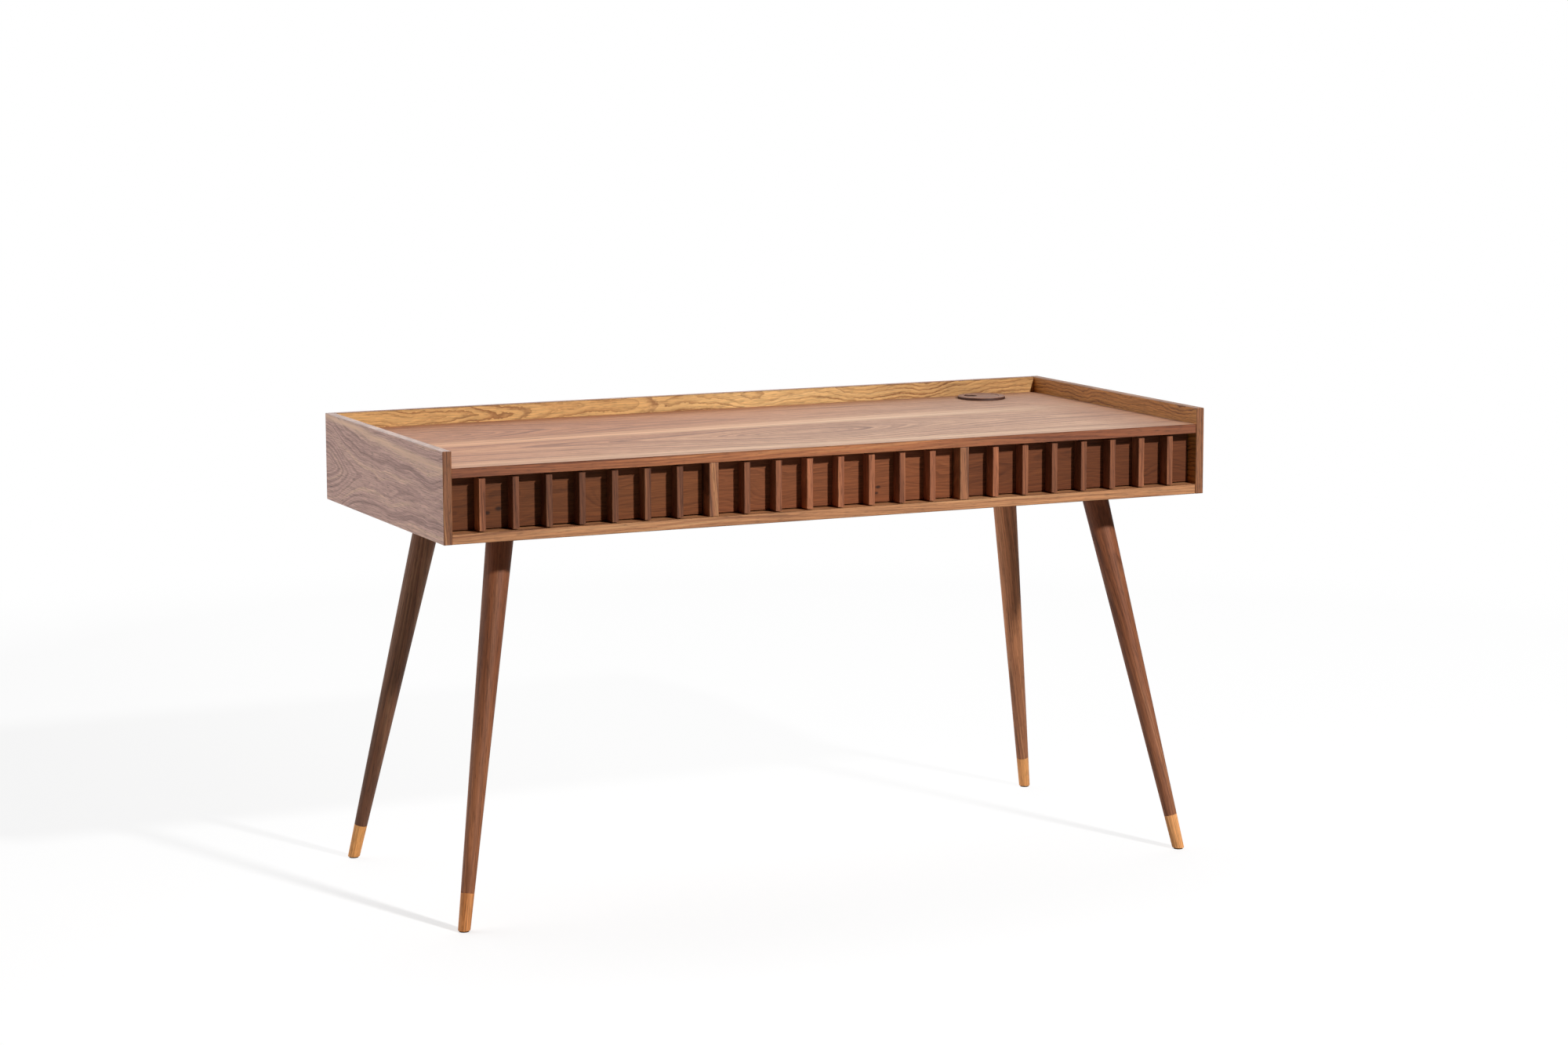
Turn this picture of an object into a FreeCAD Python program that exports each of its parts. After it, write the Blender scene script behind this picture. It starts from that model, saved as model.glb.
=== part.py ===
import FreeCAD, Part
import math
import os

# Writing desk in veneered board: a shallow carcass with a raised rim on three sides, three drawers
# with upright slats on their fronts, four splayed turned legs with pale tips, and a cable grommet.
# Millimetres. X runs along the width, the front faces -Y and Z is up. The origin is on the floor,
# below the middle of the carcass.

# Carcass boards
overall_width = 1400.0
overall_depth = 600.0
overall_height = 785.0
carcass_height = 150.0
side_thickness = 15.0
back_thickness = 15.0
desktop_thickness = 16.0
bottom_thickness = 17.0
divider_thickness = 17.0
rim_height = 28.0
front_setback = 1.5
edge_chamfer = 0.8
drawer_count = 3

# Glued dowels between the boards
dowel_diameter = 8.0
dowel_length = 28.0
dowel_in_face = 10.0
dowel_inset = 70.0
dowel_end_gap = 0.5
dowel_clearance = 0.05
back_dowel_inset = 35.0

# Cable grommet near the back right corner, and the slot where cables leave the carcass
grommet_side_gap = 98.0
grommet_back_gap = 13.0
lid_diameter = 64.0
lid_thickness = 4.0
lid_clearance = 0.3
lid_recess = 0.6
lid_chamfer = 0.5
notch_width = 22.0
notch_depth = 24.0
notch_angle = 155.0
ring_ledge = 3.5
ring_wall = 5.5
ring_lip = 6.0
ring_rise = 5.5
ring_chamfer = 2.0
ring_below = 2.0
ring_let_in = 1.0
ring_clearance = 0.2
cable_slot_width = 90.0
cable_slot_depth = 30.0

# Drawer fronts and their slats
front_recess = 26.0
front_thickness = 16.0
front_side_gap = 2.0
front_top_gap = 3.0
front_bottom_gap = 2.0
front_chamfer = 0.5
slat_count = 7
slat_width = 11.0
slat_depth = 24.0
slat_round = 2.0

# Drawer boxes
cable_space = 143.0
box_side_thickness = 12.0
box_back_thickness = 12.0
box_bottom_thickness = 6.0
box_bottom_gap = 12.0
box_top_gap = 15.0
box_bottom_rise = 6.0
box_back_inset = 8.0
housing_depth = 6.0
groove_depth = 5.0
groove_clearance = 0.2

# Telescopic steel slides, three members each
slide_width = 13.0
slide_height = 35.0
slide_sheet = 1.2
slide_bend = 1.0
slide_clearance = 0.4
slide_web_gap = 1.3
slide_lip_end_gap = 0.6
slide_front_gap = 2.0
slide_back_gap = 2.0
slide_screw_diameter = 3.4
slide_screw_head = 6.8
slide_screw_head_height = 0.9
slide_screw_bite = 7.5
slide_screw_inset = 45.0
screw_hole_clearance = 0.2
pilot_clearance = 0.05

# Legs, with a plate above each and a pale tip and a glide below
leg_inset_x = 145.0
leg_inset_y = 132.0
leg_splay = 14.4
leg_top_diameter = 45.4
leg_joint_diameter = 22.5
foot_diameter = 20.2
leg_top_chamfer = 1.5
tip_length = 62.0
tip_chamfer = 1.0
spigot_diameter = 12.0
spigot_length = 20.0
spigot_clearance = 0.1
glide_diameter = 16.0
glide_thickness = 2.0
plate_size = 64.0
plate_thickness = 2.5
plate_corner = 7.0
plate_leg_gap = 0.6
boss_diameter = 22.0
bolt_diameter = 8.0
bolt_in_leg = 40.0
bolt_end_gap = 0.5
bolt_clearance = 0.1
plate_screw_diameter = 4.0
plate_screw_head = 8.0
plate_screw_head_height = 2.2
plate_screw_bite = 12.0
plate_screw_inset = 8.0

# Sides of the prisms that stand for hidden pegs, bolts and screws
peg_sides = 12
screw_sides = 6

# Cuts run this far past the faces that they open; places closer than touch are the same place
overrun = 5.0
touch = 0.001

# Places worked out from the sizes above
half_width = overall_width / 2
half_depth = overall_depth / 2
underside = overall_height - carcass_height
desk_top = overall_height - rim_height
desk_under = desk_top - desktop_thickness
bay_floor = underside + bottom_thickness
inner_side = half_width - side_thickness
inner_back = half_depth - back_thickness
board_front = -half_depth + front_setback
bay_width = (2 * inner_side - (drawer_count - 1) * divider_thickness) / drawer_count
bay_pitch = bay_width + divider_thickness

front_face = -half_depth + front_recess
front_back = front_face + front_thickness
front_low = bay_floor + front_bottom_gap
front_high = desk_under - front_top_gap
box_low = bay_floor + box_bottom_gap
box_high = desk_under - box_top_gap
box_end = inner_back - cable_space
box_floor = box_low + box_bottom_rise + box_bottom_thickness
box_back_end = box_end - box_back_inset
slide_middle = (box_low + box_high) / 2
slide_front = front_back + slide_front_gap
slide_end = box_end - slide_back_gap

pocket_radius = lid_diameter / 2 + lid_clearance
passage_radius = pocket_radius - ring_ledge
spigot_radius = pocket_radius + ring_wall
hole_radius = spigot_radius + ring_clearance
flange_radius = hole_radius + ring_lip
grommet_x = inner_side - grommet_side_gap - flange_radius
grommet_y = inner_back - grommet_back_gap - flange_radius
lid_under = desk_top + ring_rise - lid_recess - lid_thickness

splay = math.radians(leg_splay)
leg_run = underside * math.tan(splay) / math.sqrt(2)
foot_x = half_width - leg_inset_x + leg_run
foot_y = half_depth - leg_inset_y + leg_run
axis_under = underside / math.cos(splay)
leg_top_radius = leg_top_diameter / 2
leg_top_rise = leg_top_radius * math.sin(splay)
leg_end = (underside - plate_thickness - plate_leg_gap - leg_top_rise) / math.cos(splay)
bolt_end = axis_under - bolt_diameter / 2 * math.tan(splay) - bolt_end_gap

Vec = FreeCAD.Vector
UP = Vec(0, 0, 1)
ACROSS = Vec(1, 0, 0)
HANDS = {"left": -1, "right": 1}
CORNERS = {"front_left": (-1, -1), "front_right": (1, -1), "back_left": (-1, 1), "back_right": (1, 1)}
DRAWERS = ["left_drawer", "middle_drawer", "right_drawer"]
DIVIDERS = ["left_divider", "right_divider"]

parts = {}
holes = {}


def board(x_low, x_high, y_low, y_high, z_low, z_high):
    size = (x_high - x_low, y_high - y_low, z_high - z_low)
    return Part.makeBox(*size, Vec(x_low, y_low, z_low))


def cylinder(diameter, start, end):
    return Part.makeCylinder(diameter / 2, (end - start).Length, start, end - start)


# Hidden pegs, bolts and screws, and their holes, are prisms: the flats save faces where nobody looks.
def rod(diameter, start, end, sides):
    turn = FreeCAD.Rotation(UP, end - start)
    corners = []
    for number in range(sides + 1):
        angle = 2 * math.pi * number / sides
        corner = Vec(math.cos(angle), math.sin(angle), 0) * (diameter / 2)
        corners.append(start + turn.multVec(corner))
    return Part.Face(Part.makePolygon(corners)).extrude(end - start)


def turned(points):
    outline = [Vec(radius, 0, height) for radius, height in points]
    face = Part.Face(Part.makePolygon(outline + outline[:1]))
    return face.revolve(Vec(0, 0, 0), UP, 360)


def screw(head_diameter, diameter, head, seat, end):
    return rod(head_diameter, head, seat, screw_sides).fuse(rod(diameter, head, end, screw_sides))


def front_arrises(solid, direction):
    front = solid.BoundBox.YMin
    return [edge for edge in solid.Edges
            if abs(edge.CenterOfMass.y - front) < touch
            and edge.tangentAt(edge.FirstParameter).cross(direction).Length < touch]


def bore(name, hole):
    holes.setdefault(name, []).append(hole)


def group(name, solids):
    parts[name] = Part.makeCompound(solids)


def bay_left(index):
    return -inner_side + index * bay_pitch


# Carcass: sides run the full height, the back, desktop and bottom fit between them.
def side_panel(sign):
    x_edges = sorted((sign * inner_side, sign * half_width))
    panel = board(*x_edges, -half_depth, half_depth, underside, overall_height)
    return panel.makeChamfer(edge_chamfer, panel.Edges)


def back_panel():
    panel = board(-inner_side, inner_side, inner_back, half_depth, underside, overall_height)
    top_edges = [edge for edge in panel.Edges
                 if abs(edge.CenterOfMass.z - overall_height) < touch
                 and abs(edge.CenterOfMass.x) < touch]
    return panel.makeChamfer(edge_chamfer, top_edges)


def desktop():
    panel = board(-inner_side, inner_side, board_front, inner_back, desk_under, desk_top)
    panel = panel.makeChamfer(edge_chamfer, front_arrises(panel, ACROSS))
    hole_foot = Vec(grommet_x, grommet_y, desk_under - overrun)
    hole_head = Vec(grommet_x, grommet_y, desk_top + overrun)
    seat_foot = Vec(grommet_x, grommet_y, desk_top - ring_let_in)
    flange_seat = cylinder(2 * (flange_radius + ring_clearance), seat_foot, hole_head)
    return panel.cut([cylinder(2 * hole_radius, hole_foot, hole_head), flange_seat])


def bottom_panel():
    panel = board(-inner_side, inner_side, board_front, inner_back, underside, bay_floor)
    panel = panel.makeChamfer(edge_chamfer, front_arrises(panel, ACROSS))
    slot_left = grommet_x - cable_slot_width / 2
    slot = board(slot_left, slot_left + cable_slot_width, inner_back - cable_slot_depth,
                 inner_back + overrun, underside - overrun, bay_floor + overrun)
    return panel.cut(slot)


def divider(index):
    x_low = bay_left(index) + bay_width
    panel = board(x_low, x_low + divider_thickness, board_front, inner_back, bay_floor, desk_under)
    return panel.makeChamfer(edge_chamfer, front_arrises(panel, UP))


# A dowel crosses a joint: a short end in the face of one board, the long end in the edge of the other.
def dowel(point, into_face, face_board, edge_board):
    tip = point + into_face * dowel_in_face
    tail = point - into_face * (dowel_length - dowel_in_face)
    gap = into_face * dowel_end_gap
    hole = rod(dowel_diameter + 2 * dowel_clearance, tail - gap, tip + gap, peg_sides)
    bore(face_board, hole)
    bore(edge_board, hole)
    return rod(dowel_diameter, tail, tip, peg_sides)


def carcass_dowels():
    dowels = []
    along = [board_front + dowel_inset, inner_back - dowel_inset]
    levels = {"desktop": (desk_top + desk_under) / 2, "bottom_panel": (underside + bay_floor) / 2}
    for hand, sign in HANDS.items():
        side = hand + "_side_panel"
        outward = ACROSS * sign
        for name, level in levels.items():
            for y in along:
                dowels.append(dowel(Vec(sign * inner_side, y, level), outward, side, name))
        for level in (underside + back_dowel_inset, overall_height - back_dowel_inset):
            middle = (inner_back + half_depth) / 2
            dowels.append(dowel(Vec(sign * inner_side, middle, level), outward, side, "back_panel"))
    for index, name in enumerate(DIVIDERS):
        x = bay_left(index) + bay_width + divider_thickness / 2
        for y in along:
            dowels.append(dowel(Vec(x, y, desk_under), UP, "desktop", name))
            dowels.append(dowel(Vec(x, y, bay_floor), -UP, "bottom_panel", name))
    return dowels


# Grommet: a turned ring let a little into the desktop, and a drop-in lid with a notch for cables.
def grommet_ring():
    ledge_top = lid_under - lid_clearance - desk_top
    lowest = -desktop_thickness - ring_below
    ring = turned([(passage_radius, lowest), (spigot_radius, lowest), (spigot_radius, -ring_let_in),
                   (flange_radius, -ring_let_in), (flange_radius, ring_rise - ring_chamfer),
                   (flange_radius - ring_chamfer, ring_rise), (pocket_radius, ring_rise),
                   (pocket_radius, ledge_top), (passage_radius, ledge_top)])
    ring.translate(Vec(grommet_x, grommet_y, desk_top))
    return ring


def grommet_lid():
    radius = lid_diameter / 2
    lid = turned([(0, 0), (radius, 0), (radius, lid_thickness - lid_chamfer),
                  (radius - lid_chamfer, lid_thickness), (0, lid_thickness)])
    inner_end = radius - notch_depth + notch_width / 2
    round_end = cylinder(notch_width, Vec(inner_end, 0, -overrun),
                         Vec(inner_end, 0, lid_thickness + overrun))
    mouth = board(inner_end, radius + overrun, -notch_width / 2, notch_width / 2,
                  -overrun, lid_thickness + overrun)
    lid = lid.cut(round_end.fuse(mouth))
    lid.rotate(Vec(0, 0, 0), UP, notch_angle)
    lid.translate(Vec(grommet_x, grommet_y, lid_under))
    return lid


# Legs lean out along the diagonals. Each is made upright at the origin and then placed on its axis.
def leg_place(corner):
    sx, sy = CORNERS[corner]
    inward = Vec(-sx, -sy, 0)
    return FreeCAD.Placement(Vec(sx * foot_x, sy * foot_y, 0),
                             FreeCAD.Rotation(UP.cross(inward), leg_splay))


def leg_top(corner):
    sx, sy = CORNERS[corner]
    return Vec(sx * (half_width - leg_inset_x), sy * (half_depth - leg_inset_y), underside)


def on_axis(corner, distance):
    return leg_place(corner).multVec(UP * distance)


def leg(corner):
    joint = leg_joint_diameter / 2
    stem = turned([(0, tip_length), (joint, tip_length), (leg_top_radius, leg_end - leg_top_chamfer),
                   (leg_top_radius - leg_top_chamfer, leg_end), (0, leg_end)])
    socket_end = tip_length + spigot_length + spigot_clearance
    socket = rod(spigot_diameter + 2 * spigot_clearance, UP * (tip_length - overrun), UP * socket_end,
                 peg_sides)
    bolt_hole = rod(bolt_diameter + 2 * bolt_clearance, UP * (leg_end - bolt_in_leg - bolt_end_gap),
                    UP * (leg_end + overrun), peg_sides)
    stem = stem.cut([socket, bolt_hole])
    stem.Placement = leg_place(corner)
    return stem


def leg_tip(corner):
    foot = foot_diameter / 2
    tip = turned([(0, -foot_diameter), (foot, -foot_diameter), (foot, 0),
                  (leg_joint_diameter / 2, tip_length), (0, tip_length)])
    spigot = rod(spigot_diameter, UP * (tip_length - overrun), UP * (tip_length + spigot_length), peg_sides)
    tip = tip.fuse(spigot)
    tip.Placement = leg_place(corner)
    floor = on_axis(corner, 0)
    tip = tip.cut(board(floor.x - 2 * foot_diameter, floor.x + 2 * foot_diameter,
                        floor.y - 2 * foot_diameter, floor.y + 2 * foot_diameter,
                        -2 * foot_diameter, glide_thickness))
    rim = [edge for edge in tip.Edges if edge.BoundBox.ZMax < glide_thickness + touch]
    return tip.makeChamfer(tip_chamfer, rim)


def foot_glide(corner):
    middle = on_axis(corner, glide_thickness / math.cos(splay))
    return cylinder(glide_diameter, Vec(middle.x, middle.y, 0), middle)


def leg_plate(corner):
    top = leg_top(corner)
    half = plate_size / 2
    plate = board(top.x - half, top.x + half, top.y - half, top.y + half,
                  underside - plate_thickness, underside)
    corners = [edge for edge in plate.Edges if edge.tangentAt(edge.FirstParameter).cross(UP).Length < touch]
    plate = plate.makeChamfer(plate_corner, corners)
    boss = rod(boss_diameter, on_axis(corner, leg_end), on_axis(corner, axis_under + boss_diameter), peg_sides)
    above = board(top.x - plate_size, top.x + plate_size, top.y - plate_size, top.y + plate_size,
                  underside, underside + plate_size)
    plate = plate.fuse(boss.cut(above))
    bolt_hole = rod(bolt_diameter + 2 * bolt_clearance, on_axis(corner, leg_end - overrun),
                    on_axis(corner, axis_under + overrun), peg_sides)
    return plate.cut(bolt_hole)


def leg_bolt(corner):
    return rod(bolt_diameter, on_axis(corner, leg_end - bolt_in_leg), on_axis(corner, bolt_end), peg_sides)


def leg_plate_fasteners():
    plates = []
    screws = []
    offset = plate_size / 2 - plate_screw_inset
    for corner in CORNERS:
        plate = leg_plate(corner)
        for sx, sy in CORNERS.values():
            seat = leg_top(corner) + Vec(sx * offset, sy * offset, -plate_thickness)
            head = seat - UP * plate_screw_head_height
            end = seat + UP * (plate_thickness + plate_screw_bite)
            screws.append(screw(plate_screw_head, plate_screw_diameter, head, seat, end))
            bore("bottom_panel", rod(plate_screw_diameter + 2 * pilot_clearance, seat, end, screw_sides))
            plate = plate.cut(rod(plate_screw_diameter + 2 * screw_hole_clearance, head, end, screw_sides))
        plates.append(plate)
    return plates, screws


# Drawers: a grooved and housed box behind a slatted front.
def box_side_faces(index, hand):
    if hand == "left":
        outer = bay_left(index) + slide_width
        return outer, outer + box_side_thickness
    outer = bay_left(index) + bay_width - slide_width
    return outer, outer - box_side_thickness


def box_inside(index):
    return box_side_faces(index, "left")[1], box_side_faces(index, "right")[1]


def drawer_front(index):
    x_low = bay_left(index) + front_side_gap
    x_high = bay_left(index) + bay_width - front_side_gap
    panel = board(x_low, x_high, front_face, front_back, front_low, front_high)
    panel = panel.makeChamfer(front_chamfer, front_arrises(panel, ACROSS) + front_arrises(panel, UP))
    gap = groove_clearance
    for hand in HANDS:
        low, high = sorted(box_side_faces(index, hand))
        panel = panel.cut(board(low - gap, high + gap, front_back - housing_depth - gap,
                                front_back + overrun, box_low - gap, box_high + gap))
    low, high = box_inside(index)
    floor_low = box_floor - box_bottom_thickness
    return panel.cut(board(low - gap, high + gap, front_back - groove_depth - gap,
                           front_back + overrun, floor_low - gap, box_floor + gap))


def drawer_slats(index):
    gap = (bay_width - slat_count * slat_width) / (slat_count + 1)
    slats = []
    for number in range(slat_count):
        x = bay_left(index) + gap + number * (slat_width + gap)
        slat = board(x, x + slat_width, front_face - slat_depth, front_face, front_low, front_high)
        slats.append(slat.makeFillet(slat_round, front_arrises(slat, UP)))
    return slats


def drawer_side(index, hand):
    outer, inner = box_side_faces(index, hand)
    inward = 1 if inner > outer else -1
    gap = groove_clearance
    panel = board(*sorted((outer, inner)), front_back - housing_depth, box_end, box_low, box_high)
    cut_edges = sorted((inner - inward * (groove_depth + gap), inner + inward * overrun))
    floor_groove = board(*cut_edges, front_back - housing_depth - overrun, box_end + overrun,
                         box_floor - box_bottom_thickness - gap, box_floor + gap)
    back_groove = board(*cut_edges, box_back_end - box_back_thickness - gap, box_back_end + gap,
                        box_floor, box_high + overrun)
    return panel.cut([floor_groove, back_groove])


def drawer_back(index):
    low, high = box_inside(index)
    return board(low - groove_depth, high + groove_depth, box_back_end - box_back_thickness,
                 box_back_end, box_floor, box_high)


def drawer_bottom(index):
    low, high = box_inside(index)
    return board(low - groove_depth, high + groove_depth, front_back - groove_depth, box_end,
                 box_floor - box_bottom_thickness, box_floor)


# Slides: three nested steel channels on each side of a drawer, sized from the wall towards the drawer.
def channel(index, hand, web, lip, half_height):
    wall = bay_left(index) if hand == "left" else bay_left(index) + bay_width
    inward = 1 if hand == "left" else -1
    towards_lip = 1 if lip > web else -1
    web_face = web + towards_lip * slide_sheet
    web_end = web + towards_lip * slide_bend
    inside = half_height - slide_sheet
    bend = half_height - slide_bend
    outline = [(web, -bend), (web_end, -half_height), (lip, -half_height), (lip, -inside),
               (web_face, -inside), (web_face, inside), (lip, inside), (lip, half_height),
               (web_end, half_height), (web, bend)]
    points = [Vec(wall + inward * across, slide_front, slide_middle + height) for across, height in outline]
    face = Part.Face(Part.makePolygon(points + points[:1]))
    return face.extrude(Vec(0, slide_end - slide_front, 0))


def fixed_rail(index, hand):
    lip = slide_width - slide_sheet - 2 * slide_lip_end_gap
    return channel(index, hand, 0, lip, slide_height / 2)


def middle_rail(index, hand):
    half_height = slide_height / 2 - slide_sheet - slide_clearance
    lip = slide_width - slide_sheet - slide_lip_end_gap
    return channel(index, hand, slide_sheet + slide_web_gap, lip, half_height)


def inner_rail(index, hand):
    half_height = slide_height / 2 - 2 * (slide_sheet + slide_clearance)
    lip = 2 * (slide_sheet + slide_web_gap)
    return channel(index, hand, slide_width, lip, half_height)


# Screws hold the fixed rail to the carcass, and the inner rail to the drawer side, from inside the channels.
def slide_screws(index, hand, web_face, towards, rail, wood):
    wall = bay_left(index) if hand == "left" else bay_left(index) + bay_width
    inward = ACROSS if hand == "left" else -ACROSS
    into_wood = inward * towards
    screws = []
    for y in (slide_front + slide_screw_inset, slide_end - slide_screw_inset):
        seat = Vec(wall, y, slide_middle) + inward * web_face
        head = seat - into_wood * slide_screw_head_height
        end = seat + into_wood * (slide_sheet + slide_screw_bite)
        screws.append(screw(slide_screw_head, slide_screw_diameter, head, seat, end))
        bore(wood, rod(slide_screw_diameter + 2 * pilot_clearance, seat, end, screw_sides))
        bore(rail, rod(slide_screw_diameter + 2 * screw_hole_clearance, head, end, screw_sides))
    return screws


def bay_wall(index, hand):
    if hand == "left":
        return "left_side_panel" if index == 0 else DIVIDERS[index - 1]
    return "right_side_panel" if index == drawer_count - 1 else DIVIDERS[index]


def make_carcass():
    for hand, sign in HANDS.items():
        parts[hand + "_side_panel"] = side_panel(sign)
    parts["back_panel"] = back_panel()
    parts["desktop"] = desktop()
    parts["bottom_panel"] = bottom_panel()
    for index, name in enumerate(DIVIDERS):
        parts[name] = divider(index)
    group("carcass_dowels", carcass_dowels())
    parts["grommet_ring"] = grommet_ring()
    parts["grommet_lid"] = grommet_lid()


def make_legs():
    for corner in CORNERS:
        parts[corner + "_leg"] = leg(corner)
        parts[corner + "_leg_tip"] = leg_tip(corner)
    plates, screws = leg_plate_fasteners()
    group("leg_plates", plates)
    group("leg_plate_screws", screws)
    group("leg_bolts", [leg_bolt(corner) for corner in CORNERS])
    group("foot_glides", [foot_glide(corner) for corner in CORNERS])


def make_drawers():
    carcass_screws = []
    for index, name in enumerate(DRAWERS):
        parts[name + "_front"] = drawer_front(index)
        group(name + "_slats", drawer_slats(index))
        parts[name + "_back"] = drawer_back(index)
        parts[name + "_bottom"] = drawer_bottom(index)
        drawer_screws = []
        for hand in HANDS:
            side = name + "_" + hand + "_side"
            fixed = name + "_" + hand + "_fixed_rail"
            inner = name + "_" + hand + "_inner_rail"
            parts[side] = drawer_side(index, hand)
            parts[fixed] = fixed_rail(index, hand)
            parts[inner] = inner_rail(index, hand)
            carcass_screws += slide_screws(index, hand, slide_sheet, -1, fixed, bay_wall(index, hand))
            drawer_screws += slide_screws(index, hand, slide_width - slide_sheet, 1, inner, side)
        group(name + "_middle_rails", [middle_rail(index, hand) for hand in HANDS])
        group(name + "_rail_screws", drawer_screws)
    group("fixed_rail_screws", carcass_screws)


make_carcass()
make_legs()
make_drawers()
os.makedirs("parts", exist_ok=True)
for name, shape in parts.items():
    if name in holes:
        shape = shape.cut(holes[name])
    shape.exportStep("parts/" + name + ".step")
    solids = shape.Solids
    print(name, len(solids), "solids", shape.isValid(), round(sum(solid.Volume for solid in solids)))
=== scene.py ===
# Walnut writing desk: a shallow carcass with a rim on three sides, three slatted drawers, four splayed
# turned legs with pale tips and a wooden cable grommet. Metres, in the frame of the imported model.
import math

import bmesh
import bpy
from mathutils import Matrix, Vector


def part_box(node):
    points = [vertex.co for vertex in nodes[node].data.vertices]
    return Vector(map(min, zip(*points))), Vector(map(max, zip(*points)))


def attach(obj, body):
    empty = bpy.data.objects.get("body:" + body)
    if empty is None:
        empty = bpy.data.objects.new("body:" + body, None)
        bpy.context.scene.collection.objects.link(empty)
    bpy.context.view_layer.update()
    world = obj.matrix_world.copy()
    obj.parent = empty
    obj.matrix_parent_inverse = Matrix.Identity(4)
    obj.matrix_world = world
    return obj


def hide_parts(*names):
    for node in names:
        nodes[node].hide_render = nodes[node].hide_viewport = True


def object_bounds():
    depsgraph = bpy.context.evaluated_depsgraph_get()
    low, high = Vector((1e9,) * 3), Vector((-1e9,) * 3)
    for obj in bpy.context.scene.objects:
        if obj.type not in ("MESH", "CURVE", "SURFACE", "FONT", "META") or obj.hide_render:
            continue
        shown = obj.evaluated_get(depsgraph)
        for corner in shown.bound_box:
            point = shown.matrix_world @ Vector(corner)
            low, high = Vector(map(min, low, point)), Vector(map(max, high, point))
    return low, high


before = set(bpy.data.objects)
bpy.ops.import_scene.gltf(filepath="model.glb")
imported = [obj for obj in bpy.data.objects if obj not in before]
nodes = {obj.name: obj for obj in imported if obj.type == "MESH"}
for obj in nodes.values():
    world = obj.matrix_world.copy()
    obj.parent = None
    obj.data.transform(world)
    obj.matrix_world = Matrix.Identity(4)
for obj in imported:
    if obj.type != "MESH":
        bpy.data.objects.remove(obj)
cad_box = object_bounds()


# Side panels: veneered board, walnut on the outside and oak on the inside where the rim shows.
# They run the full depth and height of the carcass, with the grain lying level. Their front edges are
# lipped with solid walnut whose grain stands upright, and every arris is eased with sandpaper.

def add_node(tree, kind, values=None, **settings):
    node = tree.nodes.new(kind)
    for name, value in settings.items():
        setattr(node, name, value)
    for name, value in (values or {}).items():
        if isinstance(value, bpy.types.NodeSocket):
            tree.links.new(value, node.inputs[name])
        else:
            node.inputs[name].default_value = value
    return node


def calc(tree, operation, *values):
    return add_node(tree, "ShaderNodeMath", dict(enumerate(values)), operation=operation).outputs[0]


def move(tree, operation, *values):
    return add_node(tree, "ShaderNodeVectorMath", dict(enumerate(values)), operation=operation).outputs[0]


def span(tree, x=0.0, y=0.0, z=0.0):
    return add_node(tree, "ShaderNodeCombineXYZ", {"X": x, "Y": y, "Z": z}).outputs[0]


def split(tree, place):
    return add_node(tree, "ShaderNodeSeparateXYZ", {0: place}).outputs


def measure(tree, operation, *values):
    node = add_node(tree, "ShaderNodeVectorMath", dict(enumerate(values)), operation=operation)
    return node.outputs["Value"]


def ramp(tree, value, low, high, start=0.0, end=1.0):
    node = add_node(tree, "ShaderNodeMapRange", {"Value": value, "From Min": low, "From Max": high,
                                                 "To Min": start, "To Max": end},
                    interpolation_type="SMOOTHSTEP")
    return node.outputs["Result"]


def mix(tree, share, first, second, blend="MIX"):
    node = add_node(tree, "ShaderNodeMix", {"Factor": share, "A": first, "B": second},
                    data_type="RGBA", blend_type=blend)
    return node.outputs["Result"]


# Noise whose spread is given in waves per metre.
def cloud(tree, place, spread, detail=2.0):
    waves = move(tree, "MULTIPLY", place, spread)
    return add_node(tree, "ShaderNodeTexNoise",
                    {"Vector": waves, "Scale": 1.0, "Detail": detail, "Roughness": 0.55}).outputs


def new_group(name, inputs, outputs):
    tree = bpy.data.node_groups.new(name, "ShaderNodeTree")
    for title, kind, value in inputs:
        socket = tree.interface.new_socket(title, in_out="INPUT", socket_type=kind)
        if value is not None:
            socket.default_value = value
    for title, kind in outputs:
        tree.interface.new_socket(title, in_out="OUTPUT", socket_type=kind)
    return tree, tree.nodes.new("NodeGroupInput").outputs, tree.nodes.new("NodeGroupOutput").inputs


def colour(red, green, blue):
    return tuple((share / 255) ** 2.2 for share in (red, green, blue)) + (1.0,)


# One cut of timber. Place runs along the trunk in X, from the middle of the figure. Year rings lie round
# a heart below the surface, which wanders, and the swell of the trunk there closes them into ovals. Each
# year darkens from its late start to its end. Streaks, fibres and pores follow the rings or the trunk.
sway_across = 6.0
late_end = 0.9


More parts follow.
